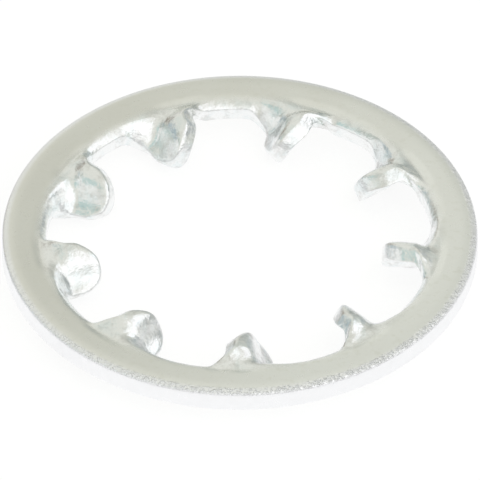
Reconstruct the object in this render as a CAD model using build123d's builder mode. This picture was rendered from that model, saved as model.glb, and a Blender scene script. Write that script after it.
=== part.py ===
from build123d import *

import os
from math import atan, cos, radians, sin, sqrt

# Internal tooth lock washer for an M10 bolt: a flat spring steel ring whose teeth stand inward
# and are twisted. The bolt head bites on their raised corners, which then lock it.

os.makedirs("parts", exist_ok=True)

# rim: a flat ring stamped from strip, 17.7 across; z = 0 is its underside, the axis is Z
rim_width = 1.65  # from the outside in to the gullets, the bottoms of the gaps between the teeth
rim_thickness = 0.88
outer_roll_width = 0.48  # the die rolls the outer top edge down, wide and shallow
outer_roll_depth = 0.12
inner_roll = 0.52  # and the inner top edge round
edge_break = 0.06  # both lower edges stay nearly sharp
# three flats make each inner round: how far in and how far down they meet, in shares of the round
round_chords = ((0, 1), (0.13, 0.5), (0.5, 0.13), (1, 0))

# teeth
tooth_count = 9
bore_diameter = 10.56  # across the tooth tips, which pass an M10 bolt
tooth_length = 1.92  # from the tips out to the gullets
tooth_thickness = 0.80  # the twisting die squeezes the teeth a little
tip_width = 1.70
root_width = 2.34
root_fillet = 0.48
root_depth = 0.10  # the root runs on this far past the crease, inside the rim
root_step = 0.02  # and there stays this far under its faces
raised_corner = 0.92  # plan radius of the corner that the twist lifts
lowered_corner = 0.58  # and of the one that it pushes down
top_edge_round = 0.18
steepest_round = 0.45  # no round takes more than this share of the tooth's width

# twist: turns each tooth about its own radial line, the clockwise side up
twist_angle = 48.0
crease_reach = 0.45  # the twist begins this far into the rim
twist_length = 1.62  # and is complete this much nearer the middle
tooth_set = 0.16  # the teeth also sink this far as they turn
corner_steps = (0, 20, 42, 65, 90)  # degrees round a tip corner, one cross section at each
fillet_steps = (32, 56, 76, 90)  # and round a root fillet

tip_radius = bore_diameter / 2
gullet_radius = tip_radius + tooth_length
rim_radius = gullet_radius + rim_width
crease_radius = gullet_radius + crease_reach
full_twist_radius = crease_radius - twist_length

# rim
with BuildPart() as rim:
    with BuildSketch(Plane.XZ):
        with BuildLine():
            roll_start = (rim_radius - outer_roll_width, rim_thickness)
            roll_end = (rim_radius, rim_thickness - outer_roll_depth)
            TangentArc(roll_start, roll_end, tangent=(1, 0))
            Polyline(
                roll_end,
                (rim_radius, edge_break),
                (rim_radius - edge_break, 0),
                (gullet_radius + edge_break, 0),
                (gullet_radius, edge_break),
                *[
                    (gullet_radius + inner_roll * out, rim_thickness - inner_roll * down)
                    for out, down in round_chords
                ],
                roll_start,
            )
        make_face()
    revolve(axis=Axis.Z)

# plan of a tooth that stands on the +X radial line: straight flanks, then fillets into the gullet
flank_slope = (root_width - tip_width) / 2 / (gullet_radius - tip_radius)
flank_turn = atan(flank_slope)


def flank_at(x):
    return tip_width / 2 + (x - tip_radius) * flank_slope


fillet_x = gullet_radius - root_fillet
for turn in range(12):  # settles where the fillet touches both the flank and the gullet circle
    fillet_y = flank_at(fillet_x) + root_fillet / cos(flank_turn)
    fillet_x = sqrt((gullet_radius - root_fillet) ** 2 - fillet_y**2)
fillet_start = fillet_x + root_fillet * sin(flank_turn)
fillet_end = fillet_x + root_fillet
root_end = crease_radius + root_depth


def rounded(gap, radius):
    """How far a corner of this radius pulls in at this distance from its end."""
    if gap >= radius:
        return 0
    return radius - sqrt(radius**2 - (radius - gap) ** 2)


def half_width(x, corner, inset=0):
    """Half the width at x of the tooth's outline, or of the line this far inside it."""
    fillet = root_fillet + inset
    if x <= fillet_x + fillet * sin(flank_turn):
        return flank_at(x) - inset / cos(flank_turn) - rounded(x - tip_radius, corner)
    past = min(x - fillet_x, fillet)
    return fillet_y - max(sqrt(fillet**2 - past**2), inset / 4)  # inside the rim the end stays as wide


def turned(x):
    """Share of the twist reached at x, from the crease to the fully turned part."""
    u = (crease_radius - x) / (crease_radius - full_twist_radius)
    u = min(max(u, 0), 1)
    return u * u * (3 - 2 * u)


def section(x):
    """One cross section of the tooth, turned about the radial line, with its top edges rounded."""
    share = turned(x)
    # next to the rim the ends of the section stay in the rim's plane
    held = min(max((x - fillet_start) / (fillet_end - fillet_start), 0), 1)
    root_half = rim_thickness / 2 - root_step
    half = root_half + (tooth_thickness / 2 - root_half) * share
    edge = top_edge_round + (inner_roll - top_edge_round) * held
    top = half - rounded(x - tip_radius, edge)
    raised = -half_width(x, raised_corner)
    lowered = half_width(x, lowered_corner)
    edge = min(edge, steepest_round * (lowered - raised))

    def place(y, z, grip=held):
        angle = radians(twist_angle) * share * (1 - grip)
        return (
            y * cos(angle) + z * sin(angle),
            z * cos(angle) - y * sin(angle) - tooth_set * share,
        )

    def face_curve(y_from, y_to, z):
        """Straight where nothing is held, else bent like an S between its held ends."""
        reach = (1 + held) / 3
        points = place(y_from, z), place(y_from * reach, z, 0), place(y_to * reach, z, 0), place(y_to, z)
        if held > 0:
            return Bezier(*points)
        return Line(points[0], points[3])

    def rolled_edge(side, corner):
        """The points of a top edge, from the flank over the round to the top face."""
        return [
            (side * half_width(x, corner, edge * inward), top - edge * down)
            for inward, down in round_chords
        ]

    up = rolled_edge(-1, raised_corner)
    down = rolled_edge(1, lowered_corner)
    plane = Plane(origin=(x, 0, rim_thickness / 2), x_dir=(0, 1, 0), z_dir=(1, 0, 0))
    with BuildSketch(plane) as outline:
        with BuildLine():
            Polyline(place(raised, -half), *[place(y, z) for y, z in up])
            face_curve(up[-1][0], down[-1][0], top)
            Polyline(*[place(y, z) for y, z in reversed(down)], place(lowered, -half))
            face_curve(lowered, raised, -half)
        make_face()
    return outline.sketch


# the tooth's cross sections stand round the tip corners, along the flanks and round the fillets
longest_corner = max(raised_corner, lowered_corner)
flank_start = tip_radius + longest_corner
stations = [flank_start - longest_corner * cos(radians(a)) for a in corner_steps]
stations += [(flank_start + fillet_start) / 2, fillet_start]
stations += [fillet_x + root_fillet * sin(radians(a)) for a in fillet_steps]
stations.append(root_end)

with BuildPart() as tooth:
    for x in sorted(stations, reverse=True):
        add(section(x))
    loft(ruled=True)

with BuildPart() as lock_washer:
    add(rim.part)
    with PolarLocations(0, tooth_count):
        add(tooth.part)

lock_washer.part.label = "lock_washer"
export_step(lock_washer.part, "parts/lock_washer.step")
print("volume", round(lock_washer.part.volume, 2), "faces", len(lock_washer.part.faces()))
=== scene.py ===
from math import atan2, cos, degrees, hypot, pi, radians, sin, sqrt

import bmesh
import bpy
from mathutils import Matrix, Vector


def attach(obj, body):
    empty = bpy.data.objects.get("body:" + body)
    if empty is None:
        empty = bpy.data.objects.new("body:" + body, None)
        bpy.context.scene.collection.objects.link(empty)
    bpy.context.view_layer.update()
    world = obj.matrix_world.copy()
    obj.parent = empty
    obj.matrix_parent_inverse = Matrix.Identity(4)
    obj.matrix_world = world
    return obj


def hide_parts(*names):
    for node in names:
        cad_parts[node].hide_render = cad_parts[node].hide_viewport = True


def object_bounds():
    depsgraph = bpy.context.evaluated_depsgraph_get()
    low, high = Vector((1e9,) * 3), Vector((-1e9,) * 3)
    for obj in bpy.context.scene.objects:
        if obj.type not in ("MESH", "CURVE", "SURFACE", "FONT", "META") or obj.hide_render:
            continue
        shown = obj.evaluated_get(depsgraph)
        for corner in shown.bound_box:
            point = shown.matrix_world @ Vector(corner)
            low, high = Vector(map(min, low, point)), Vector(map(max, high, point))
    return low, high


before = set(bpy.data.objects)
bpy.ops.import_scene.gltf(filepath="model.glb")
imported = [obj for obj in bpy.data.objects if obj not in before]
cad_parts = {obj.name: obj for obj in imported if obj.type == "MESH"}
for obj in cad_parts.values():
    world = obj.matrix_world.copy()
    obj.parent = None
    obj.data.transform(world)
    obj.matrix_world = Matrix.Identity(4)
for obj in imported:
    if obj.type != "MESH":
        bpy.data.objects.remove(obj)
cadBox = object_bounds()
mm = 0.001  # the sizes below are in millimetres
near = 0.01  # how close a point has to be to count as on a circle


def deselectAll():
    bpy.ops.object.select_all(action="DESELECT")


def pick(obj, kind, test):  # in edit mode, selects the verts or edges that lie where the test says
    cage = bmesh.from_edit_mesh(obj.data)
    bpy.ops.mesh.select_all(action="DESELECT")
    for part in getattr(cage, kind):
        spots = [part.co] if kind == "verts" else [vert.co for vert in part.verts]
        if all(test(spot) for spot in spots):
            part.select_set(True)
    cage.select_flush_mode()
    bmesh.update_edit_mesh(obj.data)


def smoothStep(low, high, value):
    share = min(max((value - low) / (high - low), 0), 1)
    return share * share * (3 - 2 * share)


def azimuth(spot):
    return degrees(atan2(spot.y, spot.x))


# the washer: one sector is modelled flat and copied round, the sheet gets its wall,
# and then the teeth are twisted

washer = dict(
    teeth=9,
    thickness=0.88,
    # the ring
    startRadius=8.37,  # the circle that the sheet grows from
    innerRings=[7.88, 7.68],
    outerRings=[(8.58, 0.019), (8.76, 0.069), (8.862, 0.12)],  # radius, and drop of the rolled outer edge
    gulletRadius=7.215,
    gulletHalf=13.333,  # degrees from a tooth's middle to where its fillets meet the gullet
    slack=0.1,  # degrees that a selection reaches past its sector
    # a tooth's outline, before it is twisted
    tipRadius=5.285,
    tipHalf=0.85,
    rootHalf=1.06,
    fillet=0.48,
    filletRows=[(58, 0.12), (28, 0.1), (0, 0.05)],  # degrees that are left of the fillet, and the row's bow
    flankRows=[6.3, 6.02],
    flankSlant=0.06,
    raisedCorner=0.92,
    loweredCorner=0.58,
    cornerTurn=48,
    tipBow=-0.17,
    # the wall and the rolled inner edge
    levels=(0.07, 0.45, 0.88),  # heights of the wall's loops
    edgeLoop=0.25,  # distance of the loop that follows the inner outline
    innerLimit=8,  # what lies inside this radius belongs to the inner outline
    gulletDrop=(0.28, 0.05),  # how far the edge and its loop are rolled down at the gullets
    toothDrop=(0.08, 0.015),  # and on the teeth
    dropZone=(6.7, 7.2),
    dish=0.06,  # slope of the ring's top towards the hole
    dishReach=0.9,
    smooth=2,
    # the twist
    twist=47,
    twistZone=(7.36, 6.5),  # from the flat ring to the fully turned tooth
    flatSide=(1.05, 1.7),  # beside a tooth and past this radius the ring stays flat
    flatRadius=(6.4, 6.95),
    toothSqueeze=0.13,
    faceBend=0.085,  # the raised half of the face bulges and the lowered half is hollow
    faceWidth=1.8,
    sink=0.15,
    # the groove that the tool pressed at the root's raised side
    grooveRadius=7.5,
    grooveWidth=0.3,
    grooveDepth=0.09,
    groovePower=1.5,
    grooveMiddle=(0.45, -0.2),
    grooveEnd=(-1.9, -1.3),
    grooveHeight=(0.4, 0.8),
)


def toothRows(w):  # rows from the gullet to the tip: two ends on the outline, and the middle's bow outward
    middle = sqrt((w["gulletRadius"] - w["fillet"]) ** 2 - (w["rootHalf"] + w["fillet"]) ** 2)
    rows = []
    for turn, bow in w["filletRows"]:
        x = middle + w["fillet"] * sin(radians(turn))
        y = w["rootHalf"] + w["fillet"] * (1 - cos(radians(turn)))
        rows.append(((x, -y), (x, y), bow))
    span = middle - w["tipRadius"]
    for x in w["flankRows"]:
        half = w["tipHalf"] + (w["rootHalf"] - w["tipHalf"]) * (x - w["tipRadius"]) / span
        rows.append(((x, -half), (x - w["flankSlant"], half), 0))
    ends = []
    turn = radians(w["cornerTurn"])
    for side, corner in ((-1, w["raisedCorner"]), (1, w["loweredCorner"])):
        x = w["tipRadius"] + corner * (1 - sin(turn))
        ends.append((x, side * (w["tipHalf"] - corner * (1 - cos(turn)))))
    rows.append((ends[0], ends[1], w["tipBow"]))
    return rows


def growTo(radius, nextRadius):  # extrudes the selected loop and scales it to the next radius
    bpy.ops.mesh.extrude_edges_move()
    bpy.ops.transform.resize(value=(nextRadius / radius, nextRadius / radius, 1))
    return nextRadius


def sectorSheet(w):
    step = w["gulletHalf"] / 2
    bpy.ops.mesh.primitive_circle_add(vertices=round(360 / step), radius=w["startRadius"],
                                      fill_type="NOTHING", rotation=(0, 0, radians(step / 2)))
    obj = bpy.context.object
    bpy.ops.object.transform_apply(rotation=True)
    bpy.ops.object.mode_set(mode="EDIT")
    bpy.ops.mesh.select_all(action="SELECT")
    radius = w["startRadius"]
    for nextRadius in w["innerRings"] + [w["gulletRadius"]]:
        radius = growTo(radius, nextRadius)
    halfSector = 180 / w["teeth"]
    pick(obj, "verts", lambda spot: abs(azimuth(spot)) > halfSector + w["slack"])
    bpy.ops.mesh.delete(type="VERT")
    pick(obj, "edges", lambda spot: spot.xy.length < w["gulletRadius"] + near
         and abs(azimuth(spot)) < w["gulletHalf"] + w["slack"])
    for low, high, bow in toothRows(w):  # the tooth grows inward from the gullet
        bpy.ops.mesh.extrude_edges_move()
        cage = bmesh.from_edit_mesh(obj.data)
        row = sorted((vert for vert in cage.verts if vert.select), key=lambda vert: vert.co.y)
        for i, vert in enumerate(row):
            share = i / (len(row) - 1)
            x = low[0] + (high[0] - low[0]) * share + bow * 4 * share * (1 - share)  # bowed in the middle
            vert.co = (x, low[1] + (high[1] - low[1]) * share, 0)
        bmesh.update_edit_mesh(obj.data)
    bpy.ops.object.mode_set(mode="OBJECT")
    print("sector sheet, points:", len(obj.data.vertices))
    return obj


def copyRound(obj, count):
    deselectAll()
    obj.select_set(True)
    bpy.context.view_layer.objects.active = obj
    for i in range(1, count):
        twin = obj.copy()
        twin.data = obj.data.copy()
        bpy.context.collection.objects.link(twin)
        twin.rotation_euler.z = 2 * pi * i / count
        twin.select_set(True)
    bpy.ops.object.join()
    bpy.ops.object.mode_set(mode="EDIT")
    bpy.ops.mesh.select_all(action="SELECT")
    bpy.ops.mesh.remove_doubles(threshold=near)
    bpy.ops.mesh.normals_make_consistent(inside=False)
    bpy.ops.object.mode_set(mode="OBJECT")
    print("copied round, points:", len(obj.data.vertices))


def edgeLoops(obj, w):  # an inset follows the inner outline, so that the edge can be rolled
    bpy.ops.object.mode_set(mode="EDIT")
    bpy.ops.mesh.select_all(action="SELECT")
    bpy.ops.mesh.inset(thickness=w["edgeLoop"], use_boundary=True, use_even_offset=True)
    radius = w["startRadius"]
    pick(obj, "edges", lambda spot: abs(spot.xy.length - w["startRadius"]) < near)
    for nextRadius, drop in w["outerRings"]:  # and the outer rings are added
        radius = growTo(radius, nextRadius)
    bpy.ops.object.mode_set(mode="OBJECT")


def innerOutline(obj, limit):  # the points of the inner outline, and of the loop beside it
    outline, loop = [], []
    sheet = bmesh.new()
    sheet.from_mesh(obj.data)
    for vert in sheet.verts:
        if vert.is_boundary and vert.co.xy.length < limit:
            outline.append(vert.co.xy.copy())
            inward = [edge for edge in vert.link_edges if not edge.is_boundary]
            loop += [edge.other_vert(vert).co.xy.copy() for edge in inward]
    sheet.free()
    return outline, loop


def thicken(obj, w):
    lines = innerOutline(obj, w["innerLimit"])
    bpy.ops.object.mode_set(mode="EDIT")
    bpy.ops.mesh.select_all(action="SELECT")
    height = 0
    for level in w["levels"]:
        bpy.ops.mesh.extrude_region_move(TRANSFORM_OT_translate={"value": (0, 0, level - height)})
        height = level
    cage = bmesh.from_edit_mesh(obj.data)
    top = [vert for vert in cage.verts if vert.co.z > w["thickness"] - near]
    for vert in top:
        radius = vert.co.xy.length
        gullet = smoothStep(*w["dropZone"], radius)
        vert.co.z -= w["dish"] * min(max(w["startRadius"] - radius, 0), w["dishReach"])
        for line, onTooth, atGullet in zip(lines, w["toothDrop"], w["gulletDrop"]):
            if any((vert.co.xy - spot).length < near / 10 for spot in line):
                vert.co.z -= onTooth + (atGullet - onTooth) * gullet
        for ringRadius, drop in w["outerRings"]:
            if abs(radius - ringRadius) < near:
                vert.co.z -= drop
    bmesh.update_edit_mesh(obj.data)
    bpy.ops.mesh.select_all(action="SELECT")
    bpy.ops.mesh.normals_make_consistent(inside=False)
    bpy.ops.object.mode_set(mode="OBJECT")


def subdivide(obj, levels):
    soft = obj.modifiers.new("Smooth", "SUBSURF")
    soft.levels = levels
    soft.render_levels = levels
    bpy.ops.object.modifier_apply(modifier=soft.name)


def twistTeeth(obj, w):  # turns each tooth about its own radial line, the clockwise side up
    sector = 2 * pi / w["teeth"]
    middle = w["thickness"] / 2
    for vert in obj.data.vertices:
        turn = round(atan2(vert.co.y, vert.co.x) / sector) * sector
        x, y = Matrix.Rotation(-turn, 2) @ vert.co.xy
        radius = hypot(x, y)
        share = smoothStep(*w["twistZone"], x)
        share *= 1 - smoothStep(*w["flatSide"], abs(y)) * smoothStep(*w["flatRadius"], radius)
        angle = radians(w["twist"] * share)
        z = (vert.co.z - middle) * (1 - w["toothSqueeze"] * share)
        z -= w["faceBend"] * share * sin(2 * pi * min(max(y / w["faceWidth"], -0.5), 0.5))
        y, z = y * cos(angle) + z * sin(angle), z * cos(angle) - y * sin(angle)
        groove = max(0, 1 - abs(radius - w["grooveRadius"]) / w["grooveWidth"]) ** w["groovePower"]
        groove *= smoothStep(*w["grooveMiddle"], y) * smoothStep(*w["grooveEnd"], y)
        groove *= smoothStep(*w["grooveHeight"], vert.co.z)
        vert.co.xy = Matrix.Rotation(turn, 2) @ Vector((x, y))
        vert.co.z = z + middle - w["sink"] * share - w["grooveDepth"] * groove


def makeWasher(w):
    deselectAll()
    obj = sectorSheet(w)
    copyRound(obj, w["teeth"])
    edgeLoops(obj, w)
    thicken(obj, w)
    subdivide(obj, w["smooth"])
    twistTeeth(obj, w)
    obj.scale = (mm, mm, mm)
    bpy.ops.object.transform_apply(location=True, rotation=True, scale=True)
    bpy.ops.object.shade_smooth()
    obj.name = "lock_washer_skin"
    print("washer twisted, faces:", len(obj.data.polygons))
    return obj


# finishes: small helpers place the nodes, and patterns lie on Object coordinates, in millimetres

def newMaterial(name):
    material = bpy.data.materials.new(name)
    material.use_nodes = True
    tree = material.node_tree
    return material, tree, tree.nodes["Principled BSDF"]


def link(tree, source, target):
    tree.links.new(source, target)


def maths(tree, operation, first, second=0.0, third=None, clamp=False):
    node = tree.nodes.new("ShaderNodeMath")
    node.operation = operation
    node.use_clamp = clamp
    for socket, value in zip(node.inputs, (first, second, third)):
        if isinstance(value, (int, float)):
            socket.default_value = value
        elif value is not None:
            link(tree, value, socket)
    return node.outputs[0]


def spread(tree, value, low, high, toLow=0.0, toHigh=1.0):
    node = tree.nodes.new("ShaderNodeMapRange")
    node.interpolation_type = "SMOOTHSTEP"
    link(tree, value, node.inputs["Value"])
    for name, number in (("From Min", low), ("From Max", high), ("To Min", toLow), ("To Max", toHigh)):
        node.inputs[name].default_value = number
    return node.outputs["Result"]


def towards(tree, spot, direction):
    node = tree.nodes.new("ShaderNodeVectorMath")
    node.operation = "DOT_PRODUCT"
    link(tree, spot, node.inputs[0])
    node.inputs[1].default_value = direction
    return node.outputs["Value"]


def blendColour(tree, share, first, second):
    node = tree.nodes.new("ShaderNodeMix")
    node.data_type = "RGBA"
    link(tree, share, node.inputs["Factor"])
    for socket, value in ((node.inputs[6], first), (node.inputs[7], second)):
        if isinstance(value, tuple):
            socket.default_value = (*value, 1)
        else:
            link(tree, value, socket)
    return node.outputs[2]


def noise(tree, spot, scale, detail, roughness=0.5, distortion=0.0):
    node = tree.nodes.new("ShaderNodeTexNoise")
    link(tree, spot, node.inputs["Vector"])
    node.inputs["Scale"].default_value = scale
    node.inputs["Detail"].default_value = detail
    node.inputs["Roughness"].default_value = roughness
    node.inputs["Distortion"].default_value = distortion
    return node.outputs["Fac"]


zinc = dict(
    # colours of the plating; warm and cool also carry a painted light gradient, and the wall colour and the
    # teeth's bluish-green and dark brownish patches are painted reflections
    warm=(0.85, 0.848, 0.80),
    cool=(0.955, 0.965, 0.94),
    dull=(0.77, 0.77, 0.70),
    bright=(0.95, 0.96, 0.955),  # the teeth, burnished by the tool
    # painted reflection: a near-white, bluish copy of the plating for the wall, standing in for the white
    # floor that it mirrors
    wall=(0.985, 0.99, 1.0),
    darkReflection=(0.45, 0.43, 0.39),  # painted reflection: dark brownish patches on the teeth, standing in for the darker room that they mirror
    # painted reflection: bluish-green patches on the teeth, standing in for the darker room that they
    # mirror
    bluishReflection=(0.70, 0.82, 0.84),
    # patterns: scale per millimetre, detail, roughness, distortion
    cloud=(0.35, 3),
    mottle=(3.2, 4, 0.6),
    grain=(13, 3, 0.6),
    fleck=(9, 3, 0.7),
    dent=(5.5, 3, 0.55, 0.3),
    darkReflectionMark=(2.3, 4, 0.6, 0.3),
    bluishReflectionMark=(1.61, 4, 0.6, 0.2),
    # where each pattern starts and is full, and how strong it is
    cloudRange=(0.35, 0.65),
    cloudShare=0.2,
    dullRange=(0.5, 0.75, 0, 0.35),
    darkReflectionRange=(0.45, 0.7, 0, 0.3),
    bluishReflectionRange=(0.33, 0.55, 0.3, 0),
    fleckRange=(0.42, 0.7),
    # places on the washer
    side=(0.94, -0.34, 0),  # painted light: towards this side the plating is painted brighter and cooler, as if more light fell from there
    roughSide=(0.72, -0.69, 0),  # and towards this one the rolled edge is rougher
    sideReach=(-9, 9),
    fleckRadius=(8.5, 8.66),
    fleckHeight=(0.66, 0.74),
    toothRadius=(7.7, 7.25),
    wallRadius=(8.5, 8.7),
    # depths in millimetres, and gloss
    grainDepth=0.0012,
    mottleDepth=0.003,
    dentDepth=0.022,
    fleckDepth=0.027,
    leastFlecks=0.15,  # share of the flecks' depth that is left on the smoother side
    mottleRange=(0.3, 0.7),
    faceRoughness=(0.27, 0.38),
    toothRoughness=0.2,
)


def zincFinish(z):
    material, tree, shader = newMaterial("bright zinc")
    place = tree.nodes.new("ShaderNodeTexCoord")
    scaled = tree.nodes.new("ShaderNodeVectorMath")
    scaled.operation = "SCALE"
    scaled.inputs["Scale"].default_value = 1 / mm
    link(tree, place.outputs["Object"], scaled.inputs[0])
    spot = scaled.outputs[0]
    parts = tree.nodes.new("ShaderNodeSeparateXYZ")
    link(tree, spot, parts.inputs[0])
    x, y, height = parts.outputs
    squares = maths(tree, "ADD", maths(tree, "MULTIPLY", x, x), maths(tree, "MULTIPLY", y, y))
    radius = maths(tree, "SQRT", squares)

    # masks and patterns
    onTooth = spread(tree, radius, *z["toothRadius"])
    onWall = spread(tree, radius, *z["wallRadius"])
    onRoll = maths(tree, "MULTIPLY", spread(tree, radius, *z["fleckRadius"]),
                   spread(tree, height, *z["fleckHeight"]))
    side = spread(tree, towards(tree, spot, z["side"]), *z["sideReach"])
    roughSide = spread(tree, towards(tree, spot, z["roughSide"]), *z["sideReach"])
    cloud = spread(tree, noise(tree, spot, *z["cloud"]), *z["cloudRange"])
    mottle = noise(tree, spot, *z["mottle"])
    grain = noise(tree, spot, *z["grain"])
    flecks = spread(tree, noise(tree, spot, *z["fleck"]), *z["fleckRange"])
    dents = noise(tree, spot, *z["dent"])
    darkReflections = spread(tree, noise(tree, spot, *z["darkReflectionMark"]), *z["darkReflectionRange"])
    bluishReflections = spread(tree, noise(tree, spot, *z["bluishReflectionMark"]), *z["bluishReflectionRange"])

    # colour
    # painted light: random cloud plus a gradient that paints the plating brighter and cooler towards one
    # side, as if more light fell there
    tone = maths(tree, "MULTIPLY_ADD", maths(tree, "SUBTRACT", cloud, 0.5), z["cloudShare"], side,
                 clamp=True)
    colour = blendColour(tree, tone, z["warm"], z["cool"])
    colour = blendColour(tree, spread(tree, mottle, *z["dullRange"]), colour, z["dull"])
    colour = blendColour(tree, onTooth, colour, z["bright"])
    # painted reflection: the wall is painted near-white, as if it mirrored the white floor
    colour = blendColour(tree, onWall, colour, z["wall"])
    # painted reflection: bluish-green patches on the teeth
    colour = blendColour(tree, maths(tree, "MULTIPLY", bluishReflections, onTooth), colour, z["bluishReflection"])
    # painted reflection: dark brownish patches on the teeth
    colour = blendColour(tree, maths(tree, "MULTIPLY", darkReflections, onTooth), colour, z["darkReflection"])
    link(tree, colour, shader.inputs["Base Color"])

    # gloss
    shader.inputs["Metallic"].default_value = 1
    onFace = spread(tree, mottle, *z["mottleRange"], *z["faceRoughness"])
    smoother = maths(tree, "SUBTRACT", z["toothRoughness"], onFace)
    roughness = maths(tree, "MULTIPLY_ADD", onTooth, smoother, onFace)
    link(tree, roughness, shader.inputs["Roughness"])

    # relief
    relief = maths(tree, "MULTIPLY", grain, z["grainDepth"])
    relief = maths(tree, "MULTIPLY_ADD", mottle, z["mottleDepth"], relief)
    depth = maths(tree, "MULTIPLY_ADD", roughSide, z["fleckDepth"], z["fleckDepth"] * z["leastFlecks"])
    raised = maths(tree, "MULTIPLY", maths(tree, "MULTIPLY", flecks, onRoll), depth)
    relief = maths(tree, "ADD", relief, raised)
    relief = maths(tree, "MULTIPLY_ADD", maths(tree, "MULTIPLY", dents, onTooth), z["dentDepth"], relief)
    bump = tree.nodes.new("ShaderNodeBump")
    bump.inputs["Distance"].default_value = mm
    link(tree, relief, bump.inputs["Height"])
    link(tree, bump.outputs[0], shader.inputs["Normal"])
    return material


skin = makeWasher(washer)
skin.data.materials.append(zincFinish(zinc))
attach(skin, "root")
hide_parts("lock_washer")
print("finish on", skin.name)


# the floor is white to the camera and keeps only a faint shadow, and the metal reflects it plain white

ground = dict(
    size=2,  # metres
    colour=(0.9, 0.9, 0.9),
    seen=(0.28, 0.28, 0.28),  # its colour to the camera, under its own glow
    glow=0.8,
    roughness=0.8,
    lowAngle=(0.58, 0.86),  # reflected at a low angle it is dimmer
    lowGlow=0.62,
)


def floorFinish(g):
    material, tree, shader = newMaterial("pale floor")
    path = tree.nodes.new("ShaderNodeLightPath")
    seen, glossy = path.outputs["Is Camera Ray"], path.outputs["Is Glossy Ray"]
    colour = blendColour(tree, seen, g["colour"], g["seen"])
    link(tree, blendColour(tree, glossy, colour, (0.0, 0.0, 0.0)), shader.inputs["Base Color"])
    shader.inputs["Roughness"].default_value = g["roughness"]
    shader.inputs["Specular IOR Level"].default_value = 0
    shader.inputs["Emission Color"].default_value = (1, 1, 1, 1)
    under = maths(tree, "MULTIPLY", seen, tree.nodes.new("ShaderNodeNewGeometry").outputs["Backfacing"])
    link(tree, maths(tree, "SUBTRACT", 1, under), shader.inputs["Alpha"])  # seen through from below
    facing = tree.nodes.new("ShaderNodeLayerWeight").outputs["Facing"]
    mirrored = maths(tree, "MULTIPLY", glossy, spread(tree, facing, *g["lowAngle"], 1.0, g["lowGlow"]))
    link(tree, maths(tree, "MULTIPLY_ADD", seen, g["glow"], mirrored), shader.inputs["Emission Strength"])
    return material


deselectAll()
bpy.ops.mesh.primitive_plane_add(size=ground["size"], location=(0, 0, cadBox[0][2]))
floor = bpy.context.object
floor.name = "floor"
floor.data.materials.append(floorFinish(ground))
print("floor at", round(cadBox[0][2] / mm, 3), "mm")


# soft surroundings: a pale sky with whiter and darker cards, round patches that fade out between two angles

studio = dict(
    turn=6.27,  # degrees; a card's azimuth is counted from the viewer's right
    sky=(0.75, 0.755, 0.70),
    cards=[
        dict(azimuth=-165, rise=5, inner=15, outer=50, colour=(0.93, 0.94, 0.93)),
        dict(azimuth=-50, rise=8, inner=28, outer=58, colour=(1.15, 1.15, 1.15)),
        dict(azimuth=12, rise=35, inner=13, outer=21, colour=(1.12, 1.13, 1.15)),
        dict(azimuth=-30, rise=62, inner=6, outer=14, colour=(1.15, 1.15, 1.15)),
        dict(azimuth=66, rise=32, inner=8, outer=36, colour=(0.60, 0.61, 0.56)),
        dict(azimuth=160, rise=14, inner=4, outer=16, colour=(0.38, 0.46, 0.49)),
        dict(azimuth=181, rise=36, inner=4, outer=16, colour=(0.42, 0.47, 0.43)),
        dict(azimuth=-141, rise=37, inner=5, outer=17, colour=(0.46, 0.60, 0.58)),
        dict(azimuth=12, rise=7, inner=7, outer=14, colour=(0.33, 0.36, 0.37)),
        dict(azimuth=41, rise=7, inner=7, outer=17, colour=(0.40, 0.44, 0.45)),
        dict(azimuth=70, rise=9, inner=8, outer=20, colour=(0.40, 0.43, 0.41)),
        dict(azimuth=134, rise=7, inner=7, outer=18, colour=(0.36, 0.33, 0.29)),
    ],
)


def makeWorld(s):
    world = bpy.data.worlds.new("studio")
    bpy.context.scene.world = world
    world.use_nodes = True
    tree = world.node_tree
    direction = tree.nodes.new("ShaderNodeTexCoord").outputs["Generated"]
    colour = s["sky"]
    for card in s["cards"]:
        turn, rise = radians(card["azimuth"] + s["turn"]), radians(card["rise"])
        aim = (cos(turn) * cos(rise), sin(turn) * cos(rise), sin(rise))
        edges = [cos(radians(card[name])) for name in ("outer", "inner")]
        share = spread(tree, towards(tree, direction, aim), *edges)
        colour = blendColour(tree, share, colour, card["colour"])
    path = tree.nodes.new("ShaderNodeLightPath")
    colour = blendColour(tree, path.outputs["Is Camera Ray"], colour, (1, 1, 1))
    link(tree, colour, tree.nodes["Background"].inputs["Color"])


makeWorld(studio)
print("studio cards:", len(studio["cards"]))


view = dict(
    turn=6.27,  # degrees, round the washer's axis
    rise=42.2,
    roll=0.15,
    distance=497,
    frameSize=480,
    scale=26.93,  # pixels per millimetre at the middle of the ring's top
    middle=(239.75, 230.55),  # where that middle stands in the frame, in pixels
    sensor=36,
    clipStart=0.01,
)


def placeCamera(v):
    turn, rise = radians(v["turn"]), radians(v["rise"])
    right = Vector((cos(turn), sin(turn), 0))
    ahead = Vector((-sin(turn) * cos(rise), cos(turn) * cos(rise), -sin(rise)))
    up = right.cross(ahead)
    right, up = (Matrix.Rotation(radians(v["roll"]), 3, ahead) @ side for side in (right, up))
    offX, offY = v["middle"][0] - v["frameSize"] / 2, v["frameSize"] / 2 - v["middle"][1]
    aim = Vector((0, 0, washer["thickness"])) - (right * offX + up * offY) / v["scale"]
    camera = bpy.data.cameras.new("camera")
    camera.sensor_width = v["sensor"]
    camera.lens = v["scale"] * v["distance"] * v["sensor"] / v["frameSize"]
    camera.clip_start = v["clipStart"]
    obj = bpy.data.objects.new("camera", camera)
    bpy.context.collection.objects.link(obj)
    place = Matrix.Translation((aim - ahead * v["distance"]) * mm)
    obj.matrix_world = place @ Matrix((right, up, -ahead)).transposed().to_4x4()
    bpy.context.scene.camera = obj


placeCamera(view)
bpy.context.scene.view_settings.view_transform = "Standard"
print("camera at", view["distance"], "mm")
